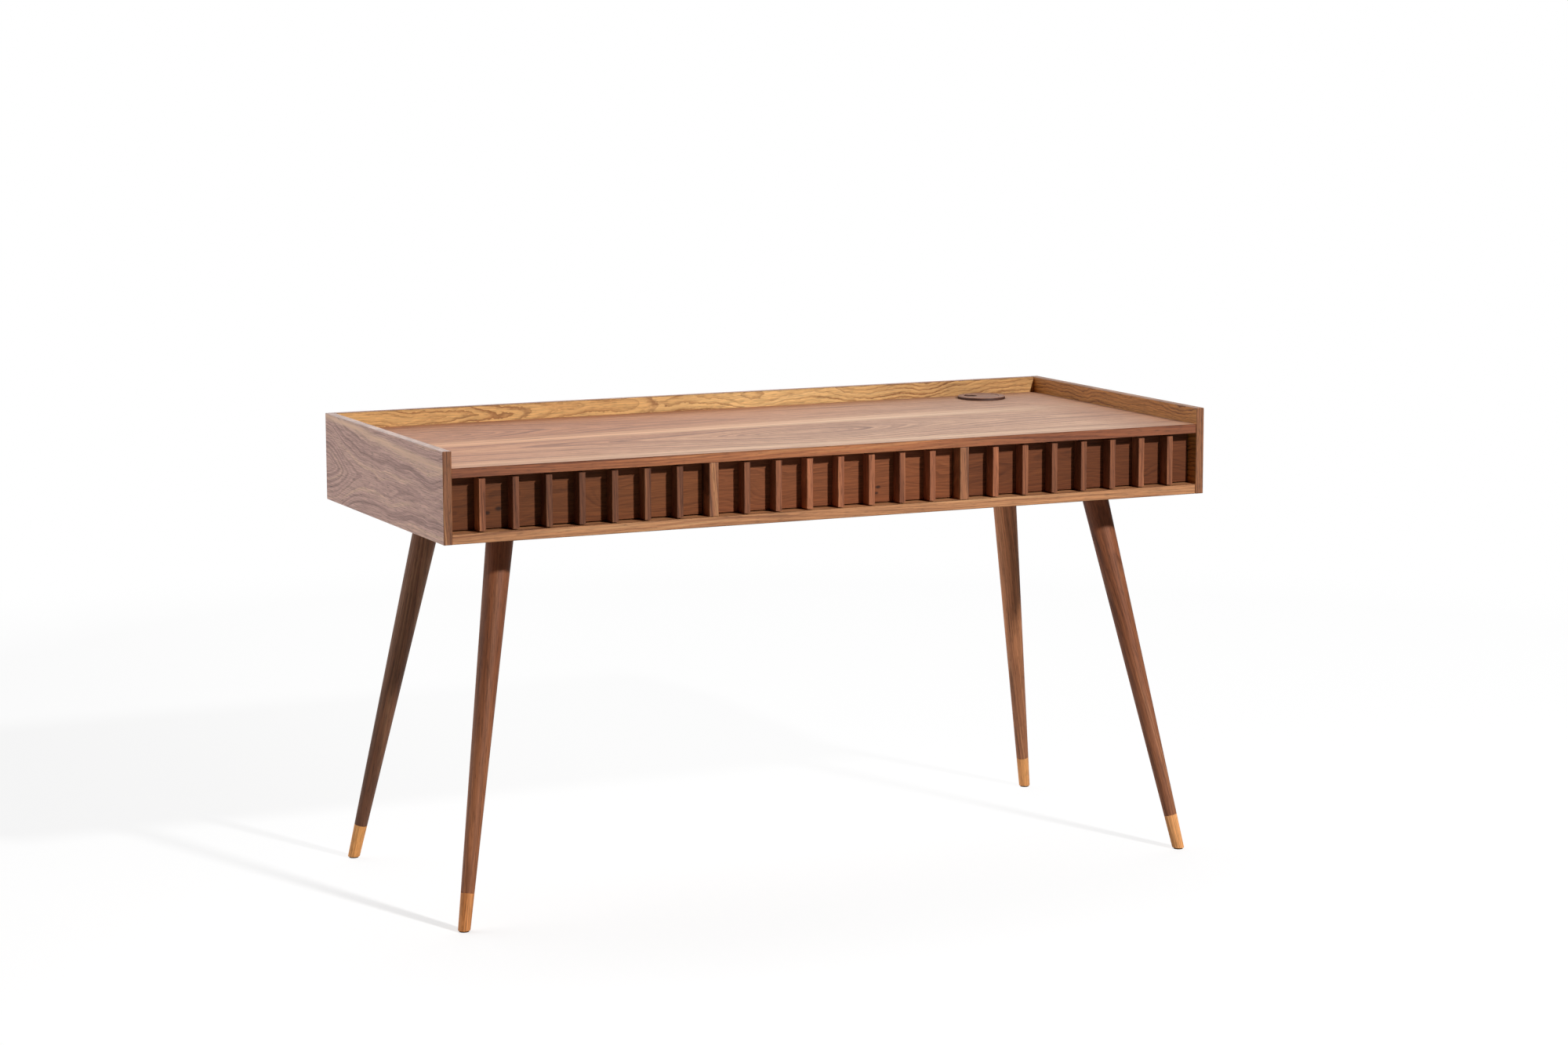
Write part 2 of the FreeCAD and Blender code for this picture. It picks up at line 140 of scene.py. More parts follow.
def build_timber():
    tree, given, out = new_group(
        "timber",
        [("Place", "NodeSocketVector", None), ("Early", "NodeSocketColor", None),
         ("Late", "NodeSocketColor", None), ("Pale", "NodeSocketColor", None),
         ("Year Width", "NodeSocketFloat", 0.012), ("Heart Depth", "NodeSocketFloat", 0.03),
         ("Swell", "NodeSocketFloat", 0.02), ("Swell Length", "NodeSocketFloat", 0.2),
         ("Sway", "NodeSocketFloat", 0.03), ("Sway Rate", "NodeSocketFloat", 1.7),
         ("Figure", "NodeSocketFloat", 0.6), ("Streak", "NodeSocketFloat", 0.4),
         ("Jagged", "NodeSocketFloat", 0.3), ("Pores", "NodeSocketFloat", 0.3),
         ("Late Start", "NodeSocketFloat", 0.2), ("Roundness", "NodeSocketFloat", 2.0)],
        [("Colour", "NodeSocketColor"), ("Gloss", "NodeSocketFloat"), ("Height", "NodeSocketFloat")])
    place = given["Place"]
    drift = cloud(tree, place, span(tree, given["Sway Rate"], sway_across, sway_across))["Color"]
    drift = move(tree, "SUBTRACT", drift, (0.5, 0.5, 0.5))
    swayed = add_node(tree, "ShaderNodeVectorMath", {0: drift, "Scale": given["Sway"]}, operation="SCALE")
    axes = split(tree, move(tree, "ADD", place, swayed.outputs[0]))
    along = calc(tree, "DIVIDE", axes["X"], given["Swell Length"])
    hump = calc(tree, "DIVIDE", 1.0, calc(tree, "MULTIPLY_ADD", along, along, 1.0))
    depth = calc(tree, "MULTIPLY", given["Swell"], calc(tree, "SUBTRACT", 1.0, hump))
    depth = calc(tree, "ADD", calc(tree, "ADD", axes["Z"], given["Heart Depth"]), depth)
    power = given["Roundness"]
    sides = [calc(tree, "POWER", calc(tree, "ABSOLUTE", side), power) for side in (axes["Y"], depth)]
    reach = calc(tree, "POWER", calc(tree, "ADD", *sides), calc(tree, "DIVIDE", 1.0, power))

    def ringed(stretch, tight, detail=2.0):
        return cloud(tree, span(tree, axes["X"], reach), (stretch, tight, 0.0), detail)["Fac"]

    tooth = calc(tree, "SUBTRACT", cloud(tree, place, (80.0, 130.0, 130.0), 2.0)["Fac"], 0.5)
    uneven = calc(tree, "MULTIPLY", calc(tree, "SUBTRACT", ringed(0.6, 30.0), 0.5), 3.0)
    years = calc(tree, "ADD", calc(tree, "DIVIDE", reach, given["Year Width"]), uneven)
    part = calc(tree, "FRACT", calc(tree, "MULTIPLY_ADD", tooth, given["Jagged"], years))
    late = calc(tree, "MULTIPLY", ramp(tree, part, given["Late Start"], late_end),
                ramp(tree, part, late_end, 1.0, 1.0, 0.0))
    late = calc(tree, "MULTIPLY", late, ramp(tree, ringed(2.4, 45.0), 0.36, 0.62, 0.25, 1.0))
    streak = calc(tree, "ADD", calc(tree, "MULTIPLY", ringed(1.1, 75.0, 4.0), 0.55),
                  calc(tree, "MULTIPLY", ringed(3.0, 280.0, 3.0), 0.45))
    fibre = cloud(tree, place, (16.0, 560.0, 560.0), 2.0)["Fac"]
    pore = ramp(tree, cloud(tree, place, (50.0, 700.0, 700.0), 1.0)["Fac"], 0.56, 0.68)
    shade = mix(tree, calc(tree, "MULTIPLY", late, given["Figure"]), given["Early"], given["Late"])
    dark = calc(tree, "MULTIPLY", ramp(tree, streak, 0.5, 0.64), given["Streak"])
    light = calc(tree, "MULTIPLY", ramp(tree, streak, 0.48, 0.35), given["Streak"])
    shade = mix(tree, dark, shade, given["Late"])
    shade = mix(tree, calc(tree, "MULTIPLY", light, 0.8), shade, given["Pale"])
    fleck = calc(tree, "SUBTRACT", ramp(tree, fibre, 0.3, 0.7, 0.8, 1.16),
                 calc(tree, "MULTIPLY", pore, given["Pores"]))
    shade = mix(tree, 1.0, shade, fleck, "MULTIPLY")
    tree.links.new(shade, out["Colour"])
    tree.links.new(ramp(tree, fibre, 0.25, 0.75, 0.66, 0.54), out["Gloss"])
    tree.links.new(calc(tree, "SUBTRACT", fibre, calc(tree, "MULTIPLY_ADD", late, 0.3, pore)), out["Height"])
    return tree


# A pale sapwood streak along a line across the leaf, a little wavy and brighter in some stretches than
# in others.
def build_sap_streak():
    tree, given, out = new_group(
        "sap_streak",
        [("Place", "NodeSocketVector", None), ("Line", "NodeSocketFloat", 0.0),
         ("Slope", "NodeSocketFloat", 0.0), ("Width", "NodeSocketFloat", 0.01)],
        [("Mask", "NodeSocketFloat")])
    axes = split(tree, given["Place"])
    wave = cloud(tree, given["Place"], (3.0, 9.0, 9.0))["Fac"]
    line = calc(tree, "MULTIPLY_ADD", axes["X"], given["Slope"], given["Line"])
    away = calc(tree, "DIVIDE", calc(tree, "SUBTRACT", axes["Y"], line), given["Width"])
    away = calc(tree, "ADD", away, calc(tree, "MULTIPLY", calc(tree, "SUBTRACT", wave, 0.5), 2.2))
    mask = calc(tree, "EXPONENT", calc(tree, "MULTIPLY", calc(tree, "MULTIPLY", away, away), -1.0))
    lines = cloud(tree, given["Place"], (2.0, 190.0, 190.0), 3.0)["Fac"]
    tree.links.new(calc(tree, "MULTIPLY", mask, ramp(tree, lines, 0.25, 0.6, 0.35, 1.0)), out["Mask"])
    return tree


# Which way a face of a board looks, as masks.
def build_facing():
    sides = (("Left", "X", -1), ("Right", "X", 1), ("Front", "Y", -1), ("Top", "Z", 1))
    tree, given, out = new_group("facing", [], [(name, "NodeSocketFloat") for name, axis, sign in sides])
    normal = add_node(tree, "ShaderNodeNewGeometry").outputs["True Normal"]
    axes = split(tree, normal)
    for name, axis, sign in sides:
        tree.links.new(calc(tree, "GREATER_THAN", calc(tree, "MULTIPLY", axes[axis], sign), 0.5), out[name])
    return tree


timber = build_timber()
sap_streak = build_sap_streak()
facing = build_facing()


def new_material(name):
    material = bpy.data.materials.new(name)
    material.use_nodes = True
    material.node_tree.nodes.clear()
    return material, material.node_tree


def use_group(tree, group, values=None):
    return add_node(tree, "ShaderNodeGroup", values, node_tree=group).outputs


def object_place(tree):
    return add_node(tree, "ShaderNodeTexCoord").outputs["Object"]


# Turns the grain: along X as it is, along Y for the sides, or upright along Z. The flat cut of a face that
# stands upright is turned once more, so that the heart of the trunk lies behind the face.
GRAIN_TURN = {"X": (0, 0, 0), "Y": (0, 0, -math.pi / 2), "Z": (0, math.pi / 2, 0)}
STANDING = (math.pi / 2, 0, 0)


def grain(tree, along, heart, tilt=(0.0, 0.0, 0.0)):
    place = object_place(tree)
    steps = (("Location", [-x for x in heart]), ("Rotation", GRAIN_TURN[along]), ("Rotation", tilt))
    for step, value in steps:
        place = add_node(tree, "ShaderNodeMapping", {"Vector": place, step: value}).outputs[0]
    return place


cut_parts = ("Colour", "Gloss", "Height")


def cut(tree, place, tones, **figure):
    values = {"Place": place, "Early": tones[0], "Late": tones[1], "Pale": tones[2]}
    values.update({name.replace("_", " ").title(): value for name, value in figure.items()})
    made = use_group(tree, timber, values)
    return {part: made[part] for part in cut_parts}


def join_cuts(tree, share, first, second):
    return {part: mix(tree, share, first[part], second[part]) for part in cut_parts}


def show(tree, shader, output="ShaderNodeOutputMaterial"):
    add_node(tree, output, {"Surface": shader.outputs[0]})


grain_relief = 0.12
grain_depth = 0.0003


def oil_finish(tree, wood, shine=0.5):
    relief = add_node(tree, "ShaderNodeBump", {"Strength": grain_relief, "Distance": grain_depth,
                                               "Height": wood["Height"]})
    show(tree, add_node(tree, "ShaderNodeBsdfPrincipled",
                        {"Base Color": wood["Colour"], "Roughness": wood["Gloss"],
                         "Specular IOR Level": shine, "Normal": relief.outputs[0]}))


def new_piece(name, mesh, body, slot, *replaced):
    piece = bpy.data.objects.new(name, mesh)
    bpy.context.scene.collection.objects.link(piece)
    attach(piece, body)
    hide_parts(*replaced)


# A board with its outer arrises eased: the solid's own shape, with the edges of its box rounded.
arris = 0.0009
touch = 0.00001
flat_angle = math.radians(0.5)


def eased_board(node, name, body, slot, material):
    low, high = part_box(node)
    shape = bmesh.new()
    shape.from_mesh(nodes[node].data)
    bmesh.ops.remove_doubles(shape, verts=shape.verts, dist=touch)
    bmesh.ops.dissolve_limit(shape, angle_limit=flat_angle, verts=shape.verts, edges=shape.edges)

    def box_faces(vertex):
        return {(axis, side) for axis in range(3) for side, corner in enumerate((low, high))
                if abs(vertex.co[axis] - corner[axis]) < touch}

    outer = [edge for edge in shape.edges if len(box_faces(edge.verts[0]) & box_faces(edge.verts[1])) == 2]
    bmesh.ops.bevel(shape, geom=outer, offset=arris, segments=2, profile=0.5, affect="EDGES")
    mesh = bpy.data.meshes.new(name)
    shape.to_mesh(mesh)
    shape.free()
    mesh.attributes.remove(mesh.attributes["custom_normal"])
    mesh.materials.clear()
    mesh.materials.append(material)
    mesh.shade_flat()
    new_piece(name, mesh, body, slot, node)


half_width = cad_box[1][0]
side_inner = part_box("right_side_panel")[0][0]
carcass_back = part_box("back_panel")[1][1]
carcass_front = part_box("left_side_panel")[0][1]

oak_tones = (colour(230, 184, 120), colour(142, 88, 42), colour(244, 210, 154))
# A darker copy of the oak tones for the right side's inner face: painted shade, as the lamp does not reach
# that face.
painted_shade_oak_tones = (colour(190, 128, 64), colour(122, 72, 32), colour(206, 146, 82))
side_tones = (colour(193, 151, 137), colour(122, 85, 78), colour(225, 184, 153))
rim_edge_tones = (colour(208, 181, 170), colour(150, 122, 112), colour(230, 203, 185))
# A browner copy of the rim edge tones for the right side's top edge: painted shade.
painted_shade_rim_edge_tones = (colour(160, 118, 92), colour(108, 74, 56), colour(186, 144, 112))
lipping_tones = (colour(150, 96, 62), colour(88, 52, 32), colour(198, 142, 94))


def oak_cut(tree, place, tones=oak_tones, swell=0.07, swell_length=0.4):
    return cut(tree, place, tones, year_width=0.0075, heart_depth=0.003, swell=swell,
               swell_length=swell_length, sway=0.038, sway_rate=7.0, figure=1.0, streak=0.35, jagged=0.8,
               late_start=0.35, roundness=1.5)


# A cut whose year lines show near the heart of the figure and die away along the grain.
def fading_cut(tree, place, reach, strength, tones, **figure):
    flat = move(tree, "MULTIPLY", place, (1.0, 2.5, 0.0))
    away = measure(tree, "LENGTH", flat)
    return cut(tree, place, tones, figure=ramp(tree, away, *reach, *strength), **figure)


def side_material(name, sign, heart_y, heart_z, rim_tones, edge_tones):
    material, tree = new_material(name)
    masks = use_group(tree, facing)
    place = grain(tree, "Y", (sign * half_width, heart_y, heart_z), STANDING)
    outer = fading_cut(tree, place, (0.1, 0.4), (0.8, 0.25), side_tones, year_width=0.0088, heart_depth=0.002,
                       swell=0.07, swell_length=0.12, sway=0.027, sway_rate=6.0, streak=0.65, pores=0.35,
                       roundness=1.25)
    sap = use_group(tree, sap_streak, {"Place": place, "Line": -0.0884, "Slope": -0.0442, "Width": 0.006})
    outer["Colour"] = mix(tree, calc(tree, "MULTIPLY", sap["Mask"], 0.95), outer["Colour"], side_tones[2])
    inner = oak_cut(tree, grain(tree, "Y", (sign * side_inner, 0.05, 0.795), STANDING), rim_tones, 0.02)
    top = cut(tree, grain(tree, "Y", (sign * half_width, 0.0, 0.72)), edge_tones, year_width=0.004,
              figure=0.5, streak=0.8)
    front = cut(tree, grain(tree, "Z", (sign * half_width, carcass_front, 0.7), (0, 0.05, 0.08)),
                lipping_tones, year_width=0.005, sway=0.02, streak=0.8)
    wood = join_cuts(tree, masks["Right"] if sign < 0 else masks["Left"], outer, inner)
    wood = join_cuts(tree, masks["Top"], wood, top)
    wood = join_cuts(tree, masks["Front"], wood, front)
    oil_finish(tree, wood)
    return material


eased_board("left_side_panel", "left_side_board", "carcass", "walnut_veneer",
            side_material("walnut_left_side", -1, 0.32, 0.695, oak_tones, rim_edge_tones))
eased_board("right_side_panel", "right_side_board", "carcass", "walnut_veneer",
            side_material("walnut_right_side", 1, 0.12, 0.72, painted_shade_oak_tones, painted_shade_rim_edge_tones))


# Back panel: the same board between the sides. Its inner face is oak veneer with a bold cathedral figure,
# which is browner towards both ends, and its outer face and top edge are walnut.
back_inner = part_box("back_panel")[0][1]
material, tree = new_material("oak_back")
masks = use_group(tree, facing)
bold = oak_cut(tree, grain(tree, "X", (-0.62, back_inner, 0.771), STANDING))
level_tilt = (math.pi / 2, 0, 0.05)
level = oak_cut(tree, grain(tree, "X", (0.41, back_inner, 0.8), level_tilt), swell=0.04, swell_length=0.15)
across = split(tree, object_place(tree))["X"]
inner = join_cuts(tree, ramp(tree, across, -0.2, 0.05), bold, level)
# The ends of the inner face are browner, partly in the oak's own tone and partly as painted shade.
tone_and_painted_shade = mix(tree, ramp(tree, across, 0.1, 0.6), (1, 1, 1, 1), (0.74, 0.65, 0.58, 1))
tone_and_painted_shade = mix(tree, ramp(tree, across, 0.05, -0.18), tone_and_painted_shade, (0.93, 0.86, 0.78, 1))
inner["Colour"] = mix(tree, 1.0, inner["Colour"], tone_and_painted_shade, "MULTIPLY")
outer = cut(tree, grain(tree, "X", (0.2, carcass_back, 0.72), STANDING), side_tones, year_width=0.007,
            heart_depth=0.01, swell=0.06, swell_length=0.3, sway=0.05, figure=0.75, streak=0.6, pores=0.4)
oil_finish(tree, join_cuts(tree, masks["Front"], outer, inner))
eased_board("back_panel", "back_board", "carcass", "walnut_veneer", material)


# Desktop: veneered board in two leaves of pale walnut with a sapwood streak along their joint and
# another by the front. Its front edge is lipped with redder solid walnut, lightest near the middle.
desk_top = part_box("desktop")[1][2]
top_tones = (colour(198, 152, 122), colour(118, 80, 66), colour(230, 190, 152))
top_edge_tones = (colour(142, 82, 52), colour(100, 54, 34), colour(172, 108, 68))
top_edge_middle_tones = (colour(177, 108, 65), colour(127, 71, 42), colour(194, 131, 83))
sapwood = colour(240, 204, 168)
leaf_joint_line = 0.0184
leaf_joint_slope = 0.047

material, tree = new_material("walnut_desktop")
masks = use_group(tree, facing)
flat_place = object_place(tree)
axes = split(tree, flat_place)
front_leaf = fading_cut(tree, grain(tree, "X", (0.045, -0.092, desk_top)), (0.2, 0.7), (0.95, 0.5), top_tones,
                        year_width=0.012, heart_depth=0.004, swell=0.1, swell_length=0.16, sway=0.05,
                        streak=0.55, roundness=1.55)
back_leaf = fading_cut(tree, grain(tree, "X", (-0.6, 0.118, desk_top)), (0.25, 0.6), (0.8, 0.2), top_tones,
                       year_width=0.0135, heart_depth=0.004, swell=0.11, swell_length=0.2, sway=0.05,
                       streak=0.55, roundness=1.55)
joint = calc(tree, "MULTIPLY_ADD", axes["X"], leaf_joint_slope, leaf_joint_line)
wood = join_cuts(tree, calc(tree, "GREATER_THAN", axes["Y"], joint), front_leaf, back_leaf)
for line, slope, width, strength in ((leaf_joint_line + 0.002, leaf_joint_slope, 0.006, 1.0),
                                     (leaf_joint_line - 0.012, leaf_joint_slope, 0.01, 0.5),
                                     (leaf_joint_line + 0.024, leaf_joint_slope, 0.012, 0.55),
                                     (-0.262, 0.0, 0.014, 0.5)):
    streak = use_group(tree, sap_streak, {"Place": flat_place, "Line": line, "Slope": slope, "Width": width})
    strength = ramp(tree, axes["X"], 0.2, 0.65, strength, 0.3 * strength)
    wood["Colour"] = mix(tree, calc(tree, "MULTIPLY", streak["Mask"], strength), wood["Colour"], sapwood)
# The leaves are browner towards the back and the left, partly in the walnut's own tone and partly as painted
# shade. They are darker still along the far right side and towards the back right corner: painted shade by
# the right rim and the grommet.
tone_and_painted_shade = ramp(tree, calc(tree, "MULTIPLY_ADD", axes["X"], -0.6, axes["Y"]), -0.3, 0.35)
tint = mix(tree, tone_and_painted_shade, (1.02, 1.03, 1.03, 1.0), (0.97, 0.75, 0.6, 1.0))
painted_shade_corner = ramp(tree, calc(tree, "ADD", axes["X"], axes["Y"]), 0.35, 0.85)
painted_shade_side = calc(tree, "MAXIMUM", painted_shade_corner, ramp(tree, axes["X"], 0.5, 0.62))
tint = mix(tree, painted_shade_side, tint, (0.8, 0.71, 0.65, 1.0))
wood["Colour"] = mix(tree, 1.0, wood["Colour"], tint, "MULTIPLY")
edge_place = grain(tree, "X", (0.3, carcass_front, 0.74))
off_middle = calc(tree, "ABSOLUTE", calc(tree, "ADD", axes["X"], 0.12))
edge = join_cuts(tree, ramp(tree, off_middle, 0.6, 0.1),
                 cut(tree, edge_place, top_edge_tones, year_width=0.006, heart_depth=0.05, streak=0.9),
                 cut(tree, edge_place, top_edge_middle_tones, year_width=0.006, heart_depth=0.05, streak=0.9))
oil_finish(tree, join_cuts(tree, masks["Front"], wood, edge))
eased_board("desktop", "desktop_board", "carcass", "desktop_veneer", material)


# Bottom panel: the carcass floor, a veneered board between the sides that the drawers slide over. It is
# walnut below, and its top and front lipping hold much golden sapwood.
bottom_tones = (colour(191, 132, 88), colour(122, 73, 47), colour(216, 164, 114))
material, tree = new_material("walnut_bottom")
masks = use_group(tree, facing)
board = cut(tree, grain(tree, "X", (0.1, 0.05, 0.64)), side_tones, swell=0.05, swell_length=0.3)
edge = cut(tree, grain(tree, "X", (-0.2, carcass_front, 0.645)), bottom_tones, year_width=0.007, streak=0.8)
lit = calc(tree, "MAXIMUM", masks["Front"], masks["Top"])
oil_finish(tree, join_cuts(tree, lit, board, edge))
eased_board("bottom_panel", "bottom_board", "carcass", "walnut_veneer", material)


# Dividers: two upright boards between the drawers, dowelled to the desktop and the bottom.
# Their front lippings have upright grain, half of it sapwood.
material, tree = new_material("walnut_divider")
divider_tones = (colour(160, 102, 67), colour(92, 54, 35), colour(206, 148, 98))
oil_finish(tree, cut(tree, grain(tree, "Z", (0.0, carcass_front, 0.7), (0, 0.06, 0.05)), divider_tones,
                     year_width=0.006, sway=0.02, streak=0.9))
for side in ("left", "right"):
    eased_board(side + "_divider", side + "_divider_board", "carcass", "walnut_veneer", material)


# Dowels: turned beech pegs across the joints of the carcass, glued with a short end in the face of one board
# and the long end in the edge of the other. They lie inside the boards, so they keep the solids' own shape.

def dress(names, material):
    for name in names:
        nodes[name].data.materials.clear()
        nodes[name].data.materials.append(material)


material, tree = new_material("beech_pegs")
oil_finish(tree, cut(tree, grain(tree, "X", (0, 0, 0.7)),
                     (colour(214, 178, 138), colour(180, 138, 98), colour(226, 196, 160)), year_width=0.004))
dress(["carcass_dowels"], material)


# Grommet: a walnut ring turned on the lathe and let a little into the desktop, and a thin lid that drops
# into it. The lid has a notch with a round end, so that cables can pass when it is in.

def turned(outline, sides, closed=False):
    shape = bmesh.new()
    rings = []
    for radius, height in outline:
        count = sides if radius else 1
        angles = [2 * math.pi * i / count for i in range(count)]
        rings.append([shape.verts.new((radius * math.cos(a), radius * math.sin(a), height)) for a in angles])
    for lower, upper in zip(rings, rings[1:] + (rings[:1] if closed else [])):
        for i in range(sides):
            j = (i + 1) % sides
            corners_round = ((lower, i), (lower, j), (upper, j), (upper, i))
            around = [ring[step % len(ring)] for ring, step in corners_round]
            shape.faces.new(list(dict.fromkeys(around)))
    bmesh.ops.recalc_face_normals(shape, faces=shape.faces)
    return shape


def quarter_round(radius, height, size, start, steps=6):
    turns = [math.radians(start + 90 * i / steps) for i in range(steps + 1)]
    return [(radius + size * math.cos(a), height + size * math.sin(a)) for a in turns]


def placed_mesh(name, shape, place, material, crease=40.0):
    shape.transform(place)
    mesh = bpy.data.meshes.new(name)
    shape.to_mesh(mesh)
    shape.free()
    mesh.materials.append(material)
    mesh.shade_smooth()
    mesh.set_sharp_from_angle(angle=math.radians(crease))
    return mesh


ring_low, ring_high = (Vector(corner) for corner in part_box("grommet_ring"))
lid_low, lid_high = (Vector(corner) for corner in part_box("grommet_lid"))
ring_radius = (ring_high.x - ring_low.x) / 2
ring_rise = ring_high.z - desk_top
ring_let_in = 0.001
ring_sides = 96
ring_depth = desk_top - ring_low.z
ring_round = 0.0025
ring_inner_round = 0.0008
lid_radius = 0.032
pocket_radius = 0.0323
spigot_radius = 0.0378
passage_radius = 0.0288
ledge_rise = 0.0006
lid_thickness = lid_high.z - lid_low.z
lid_round = 0.0008
notch_half = 0.011
notch_end = 0.019
notch_turn = math.radians(155.0)
grommet_middle = Vector(((ring_low.x + ring_high.x) / 2, (ring_low.y + ring_high.y) / 2, desk_top))

grommet_tones = (colour(158, 114, 92), colour(108, 74, 58), colour(184, 142, 116))
painted_shade_wall_tones = (colour(74, 43, 31), colour(50, 29, 21), colour(92, 57, 41))


# Flat faces show long grain. The walls are painted darker: painted shade for the dark opening of the notch
# and the shaded outer wall of the ring.
def turned_walnut(name, heart, tilt):
    material, tree = new_material(name)
    place = grain(tree, "X", heart, tilt)
    flat, walls = (cut(tree, place, tones, year_width=0.007, sway=0.02)
                   for tones in (grommet_tones, painted_shade_wall_tones))
    oil_finish(tree, join_cuts(tree, use_group(tree, facing)["Top"], walls, flat))
    return material


material = turned_walnut("walnut_ring", (0.5, 0.2, 0.75), (0, 0, 0))
ring_outline = [(passage_radius, -ring_depth), (spigot_radius, -ring_depth), (spigot_radius, -ring_let_in),
                (ring_radius, -ring_let_in)]
ring_outline += quarter_round(ring_radius - ring_round, ring_rise - ring_round, ring_round, 0)
ring_outline += quarter_round(pocket_radius + ring_inner_round, ring_rise - ring_inner_round,
                              ring_inner_round, 90)
ring_outline += [(pocket_radius, ledge_rise), (passage_radius, ledge_rise)]
ring = placed_mesh("grommet_turned_ring", turned(ring_outline, ring_sides, closed=True),
                   Matrix.Translation(grommet_middle), material)
new_piece("grommet_turned_ring", ring, "carcass", "walnut_solid", "grommet_ring")

material = turned_walnut("walnut_lid", (0.5, 0.21, 0.76), (0, 0, 0.2))
mouth = math.asin(notch_half / lid_radius)
rim_steps = 80
notch_steps = 16
rim = [mouth + (2 * math.pi - 2 * mouth) * i / rim_steps for i in range(rim_steps + 1)]
lid_line = [(lid_radius * math.cos(a), lid_radius * math.sin(a)) for a in rim]
hollow = [-math.pi / 2 - math.pi * i / notch_steps for i in range(notch_steps + 1)]
lid_line += [(notch_end + notch_half * math.cos(a), notch_half * math.sin(a)) for a in hollow]
shape = bmesh.new()
lid_face = shape.faces.new([shape.verts.new((x, y, 0)) for x, y in lid_line])
rise = bmesh.ops.extrude_face_region(shape, geom=[lid_face])
raised = [item for item in rise["geom"] if isinstance(item, bmesh.types.BMVert)]
bmesh.ops.translate(shape, verts=raised, vec=(0, 0, lid_thickness))
bmesh.ops.recalc_face_normals(shape, faces=shape.faces)
top_edges = [edge for edge in shape.edges if all(vertex in raised for vertex in edge.verts)]
bmesh.ops.bevel(shape, geom=top_edges, offset=lid_round, segments=3, profile=0.5, affect="EDGES")
lid_seat = Matrix.Translation((grommet_middle.x, grommet_middle.y, lid_low.z))
lid_place = lid_seat @ Matrix.Rotation(notch_turn, 4, "Z")
lid = placed_mesh("grommet_notched_lid", shape, lid_place, material)
new_piece("grommet_notched_lid", lid, "grommet_lid", "walnut_solid", "grommet_lid")


# Legs: solid walnut turned to a straight taper, leaning out along the diagonals and bolted up under the
# carcass. Each has a turned oak tip, flush with it, sawn level at the floor, and a felt glide.
corners = {"front_left": (-1, -1), "front_right": (1, -1), "back_left": (-1, 1), "back_right": (1, 1)}
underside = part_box("bottom_panel")[0][2]
leg_top_x = 0.555
leg_top_y = 0.168
splay = math.radians(14.4)
leg_run = underside * math.tan(splay) / math.sqrt(2)
leg_end = 0.6466
leg_sides = 72
tip_length = 0.062
foot_radius = 0.0101
joint_radius = 0.01125
leg_top_radius = 0.0227
leg_top_round = 0.0015
joint_round = 0.0003
floor_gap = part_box("front_left_leg_tip")[0][2]
tip_round = 0.001
grain_runout = 0.04
heart_offset = 0.026
first_heart_turn = 70
heart_turn_step = 100
log_gap = 0.9
tip_log_shift = Vector((0.4, 0.01, 0.0))
turned_shine = 0.32

leg_tones = (colour(140, 86, 58), colour(84, 50, 34), colour(176, 120, 84))
tip_tones = (colour(206, 142, 84), colour(160, 100, 52), colour(224, 168, 110))


def log_place(tree):
    return add_node(tree, "ShaderNodeAttribute", attribute_name="log_place").outputs["Vector"]


# Each leg is tinted at the foot and at the head, and the tint changes from one to the other in between. The
# tints are partly the billet's own tone and partly painted light and shade: the back left leg is darker at
# its foot, where the lamp lights it, and the back right leg is lighter at its head, in the carcass's shadow.
# The tips' tints are likewise partly painted light.
tone_change = (0.18, 0.45)
foot_tints_and_painted_light = {"front_left": (1.4, 1.5, 1.48, 1), "front_right": (1.3, 1.4, 1.5, 1),
              "back_left": (0.49, 0.53, 0.53, 1), "back_right": (1.34, 1.54, 1.6, 1)}
head_tints_and_painted_light = {"front_left": (0.87, 0.84, 0.78, 1), "front_right": (0.97, 0.93, 0.88, 1),
              "back_left": (0.88, 1.1, 1.24, 1), "back_right": (2.2, 2.65, 2.75, 1)}
tip_tints_and_painted_light = {"front_left": (1.1, 0.95, 0.93, 1), "front_right": (1.57, 1.63, 1.9, 1),
             "back_left": (1.12, 1.14, 1.06, 1), "back_right": (1.22, 1.26, 1.35, 1)}


def turned_material(name, foot_tint, head_tint, tones, **figure):
    material, tree = new_material(name)
    height = split(tree, object_place(tree))["Z"]
    tint = mix(tree, ramp(tree, height, *tone_change), foot_tint, head_tint)
    wood = cut(tree, log_place(tree), tones, heart_depth=0.0, swell=0.0, **figure)
    wood["Colour"] = mix(tree, 1.0, wood["Colour"], tint, "MULTIPLY")
    oil_finish(tree, wood, turned_shine)
    return material


# Notes each point's place in its own log: along the leg's axis, and across it from the heart of the trunk.
def note_log_place(mesh, place, heart, runout=0.0):
    to_axis = place.inverted()
    layer = mesh.attributes.new("log_place", "FLOAT_VECTOR", "POINT")
    for vertex, entry in zip(mesh.vertices, layer.data):
        spot = to_axis @ vertex.co
        entry.vector = Vector((spot.z, spot.x + runout * spot.z, spot.y)) + heart


